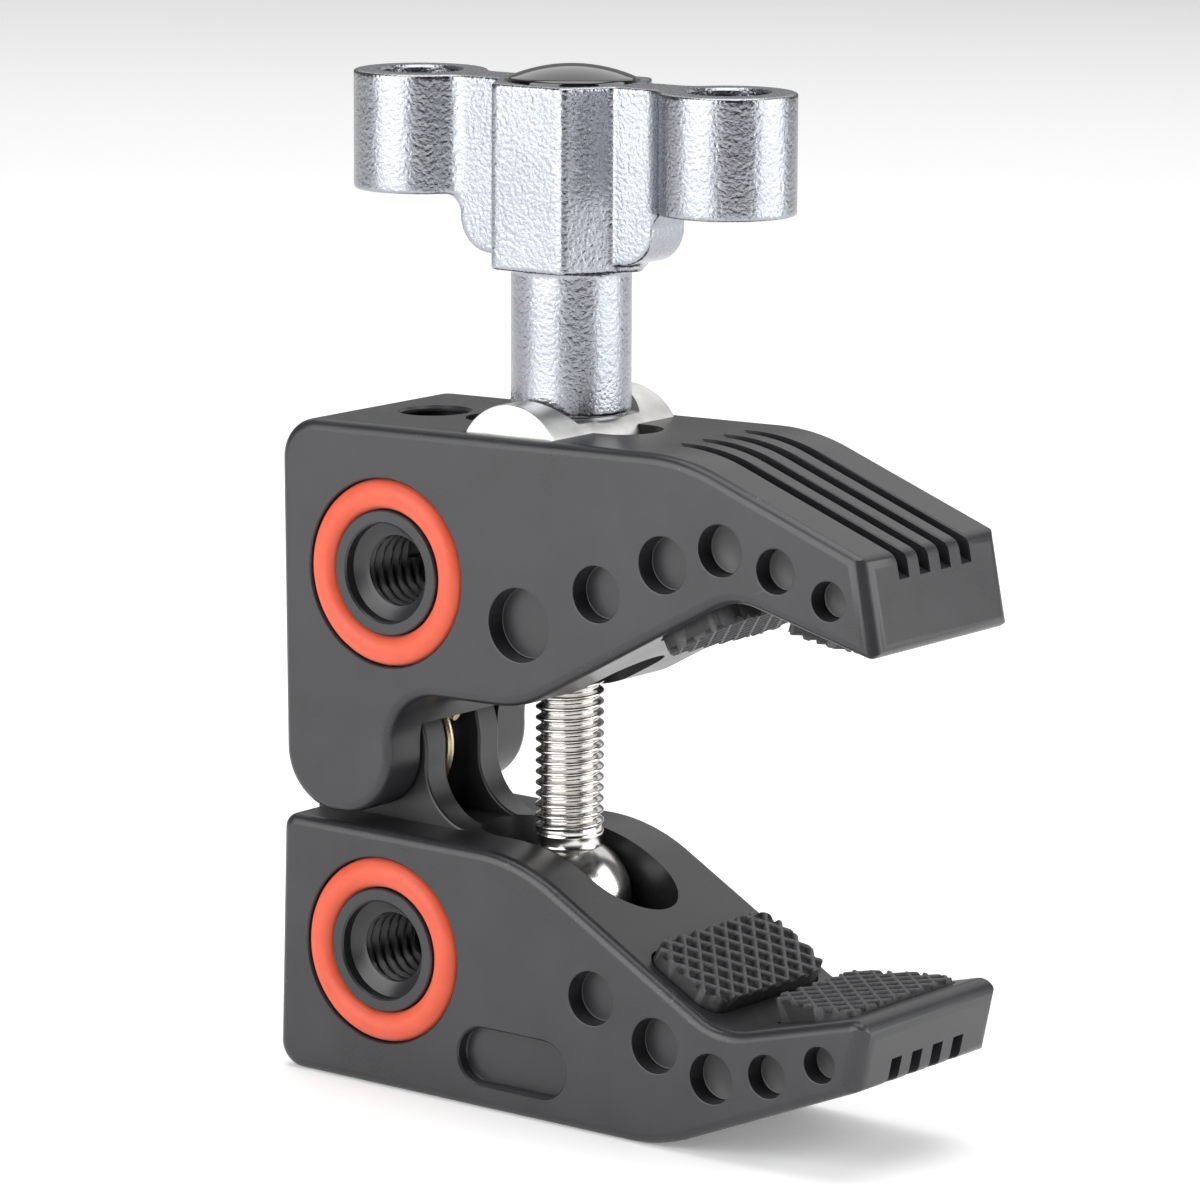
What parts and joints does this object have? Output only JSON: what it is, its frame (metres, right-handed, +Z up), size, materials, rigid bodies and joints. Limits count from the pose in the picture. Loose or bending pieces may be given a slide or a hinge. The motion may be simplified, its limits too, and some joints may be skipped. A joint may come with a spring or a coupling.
{
  "type": "super clamp",
  "caption": "Screw-down jaw clamp for tubes and bars: two hinged V jaws with rubber pads, a swing rod and a T knob, and threaded accessory holes.",
  "frame": {"origin": "on the ground under the middle of the clamp's bounding box; the lower jaw stands on its flat rear underside", "axes": "+X towards the jaws' noses, +Y across the jaws, +Z up towards the knob"},
  "size_m": [0.0826, 0.028, 0.1175],
  "materials": {
    "jaw": "black satin anodised, fine grain",
    "steel": "plain turned steel",
    "spring": "drawn spring wire, straw tint",
    "stainless": "stainless, bead blasted",
    "thread": "bright rolled thread",
    "knob": "silver grey with an orange-peel grain",
    "cap": "glossy black",
    "pad": "black rubber, knurled",
    "ring": "orange red silicone rubber",
    "washer": "off-white low-friction plastic"
  },
  "bodies": {
    "lower_jaw": {"lower_jaw": "jaw", "hinge_sleeve": "steel", "hinge_spring": "spring", "lower_rear_pad": "pad", "lower_front_pad": "pad", "lower_ring_near": "ring", "lower_ring_far": "ring"},
    "upper_jaw": {"upper_jaw": "jaw", "hinge_pin": "steel", "hinge_washer_near": "washer", "hinge_washer_far": "washer", "upper_rear_pad": "pad", "upper_front_pad": "pad", "upper_ring_near": "ring", "upper_ring_far": "ring"},
    "barrel": {"barrel": "stainless", "thrust_washer": "steel"},
    "rod": {"swing_rod": "thread", "rod_pin": "steel"},
    "knob": {"knob": "knob", "knob_nut": "steel", "knob_cap": "cap"}
  },
  "joints": [
    {"name": "jaw_hinge", "type": "hinge", "parent": "lower_jaw", "child": "upper_jaw", "pos_m": [-0.03286, 0, 0.038], "axis": [0, 1, 0], "range_deg": [-8.1, 27.1]},
    {"name": "barrel_turn", "type": "hinge", "parent": "upper_jaw", "child": "barrel", "pos_m": [-0.01012, 0, 0.0733], "axis": [0, 1, 0], "range_deg": [-7.6, 2.4]},
    {"name": "rod_slide", "type": "slide", "parent": "barrel", "child": "rod", "axis": [-0.0257, 0, 0.9997], "range_m": [-0.0036, 0.0119]},
    {"name": "knob_spin", "type": "hinge", "parent": "barrel", "child": "knob", "pos_m": [-0.01012, 0, 0.0733], "axis": [0.0257, 0, -0.9997], "range_deg": [-1010, 3405]}
  ],
  "couplings": [
    {"joint": "jaw_hinge", "follows": "knob_spin", "ratio": 0.007918},
    {"joint": "barrel_turn", "follows": "knob_spin", "ratio": -0.0021884},
    {"joint": "rod_slide", "follows": "knob_spin", "m_per_rad": 0.00019894}
  ]
}
